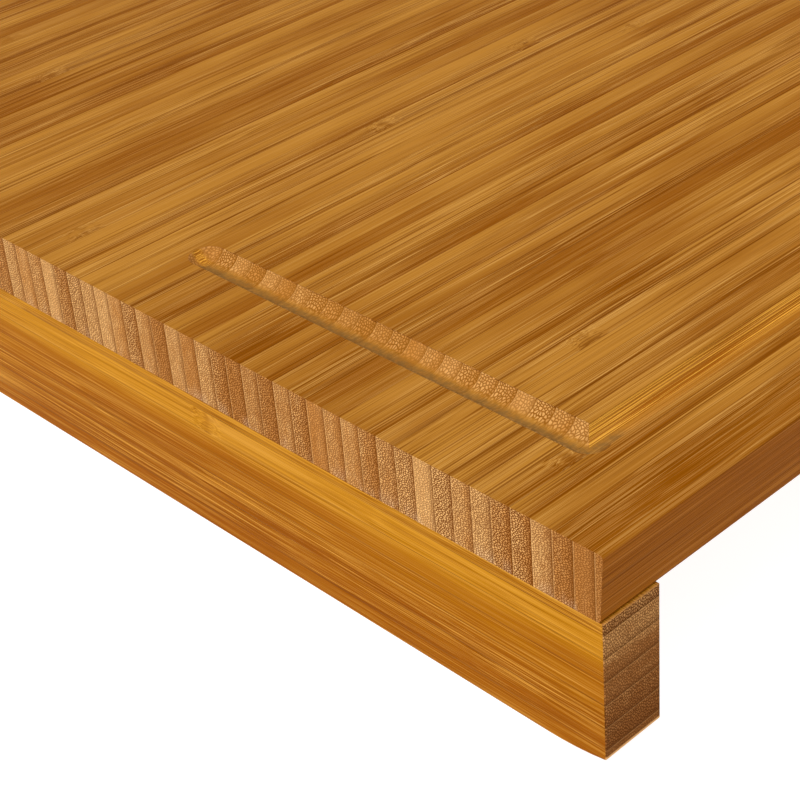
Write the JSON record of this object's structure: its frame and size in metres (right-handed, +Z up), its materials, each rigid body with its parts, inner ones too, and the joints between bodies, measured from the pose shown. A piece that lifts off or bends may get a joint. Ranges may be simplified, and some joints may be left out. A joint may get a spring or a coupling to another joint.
{
  "type": "cutting board",
  "caption": "Rectangular bamboo cutting board of upright glued strips, standing on a rail across each end, with a round-bottomed juice groove along one side and round its corners.",
  "frame": {"origin": "on the surface the board stands on, under the middle of the board", "axes": "+X across the strips towards the long side that the juice groove follows, +Y along the strips from the front rail to the rear rail, +Z up"},
  "size_m": [0.3018, 0.45, 0.048],
  "materials": {
    "deck_bamboo": "satin oiled, caramel, with a strip-to-strip change of tone",
    "rail_bamboo": "satin oiled, golden orange",
    "screw_steel": "zinc-plated, satin"
  },
  "bodies": {
    "root": {"deck_edge_strip": "deck_bamboo", "deck_strips_01_02": "deck_bamboo", "deck_strips_03_04": "deck_bamboo", "deck_strips_05_06": "deck_bamboo", "deck_strips_07_08": "deck_bamboo", "deck_strips_09_10": "deck_bamboo", "deck_strips_11_12": "deck_bamboo", "deck_strips_13_14": "deck_bamboo", "deck_strips_15_16": "deck_bamboo", "deck_strips_17_18": "deck_bamboo", "deck_strips_19_20": "deck_bamboo", "deck_strips_21_22": "deck_bamboo", "deck_strips_23_24": "deck_bamboo", "deck_strips_25_26": "deck_bamboo", "deck_strips_27_28": "deck_bamboo", "deck_strips_29_30": "deck_bamboo", "deck_strips_31_32": "deck_bamboo", "deck_strips_33_34": "deck_bamboo", "deck_strips_35_36": "deck_bamboo", "deck_strips_37_38": "deck_bamboo", "deck_strips_39_40": "deck_bamboo", "deck_strips_41_42": "deck_bamboo", "deck_strips_43_44": "deck_bamboo", "deck_strips_45_46": "deck_bamboo", "deck_strips_47_48": "deck_bamboo", "deck_strips_49_50": "deck_bamboo", "deck_strips_51_52": "deck_bamboo", "deck_strips_53_54": "deck_bamboo", "deck_strips_55_56": "deck_bamboo", "deck_strips_57_58": "deck_bamboo", "deck_strips_59_60": "deck_bamboo", "deck_strips_61_62": "deck_bamboo", "front_rail_layer_1": "rail_bamboo", "front_rail_layer_2": "rail_bamboo", "front_rail_layer_3": "rail_bamboo", "front_rail_layer_4": "rail_bamboo", "front_rail_layer_5": "rail_bamboo", "front_rail_layer_6": "rail_bamboo", "front_rail_layer_7": "rail_bamboo", "front_rail_screws": "screw_steel", "rear_rail_layer_1": "rail_bamboo", "rear_rail_layer_2": "rail_bamboo", "rear_rail_layer_3": "rail_bamboo", "rear_rail_layer_4": "rail_bamboo", "rear_rail_layer_5": "rail_bamboo", "rear_rail_layer_6": "rail_bamboo", "rear_rail_layer_7": "rail_bamboo", "rear_rail_screws": "screw_steel"}
  },
  "joints": []
}
